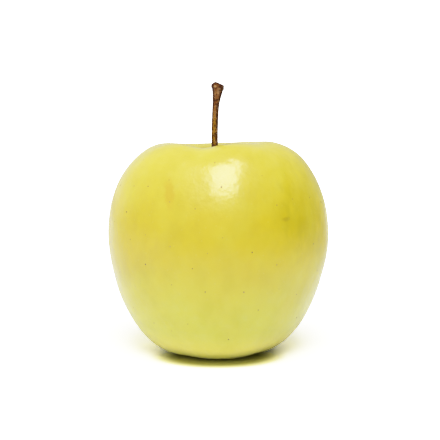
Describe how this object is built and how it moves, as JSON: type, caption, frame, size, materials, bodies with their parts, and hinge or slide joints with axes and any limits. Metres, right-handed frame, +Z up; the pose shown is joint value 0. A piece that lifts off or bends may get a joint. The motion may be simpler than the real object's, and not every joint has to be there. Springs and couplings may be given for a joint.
{
  "type": "whole yellow apple",
  "caption": "Whole yellow apple with a woody stem rising from its top hollow and a dried calyx in the hollow underneath, standing on the bumps of its base.",
  "frame": {"origin": "on the table under the middle of the fruit, at the bottom centre of the whole's box", "axes": "+Z up along the core towards the stem, -Y towards the viewer, +X to the viewer's right"},
  "size_m": [0.0758, 0.075, 0.0922],
  "materials": {
    "apple_skin": "waxy yellow skin with fine pores and faint mottling",
    "stem_bark": "rough reddish-brown bark, darker at the knob",
    "dried_calyx": "dull dry brown sepals with paler tips"
  },
  "bodies": {
    "root": {"fruit": "apple_skin", "stem": "stem_bark", "calyx": "dried_calyx"}
  },
  "joints": []
}
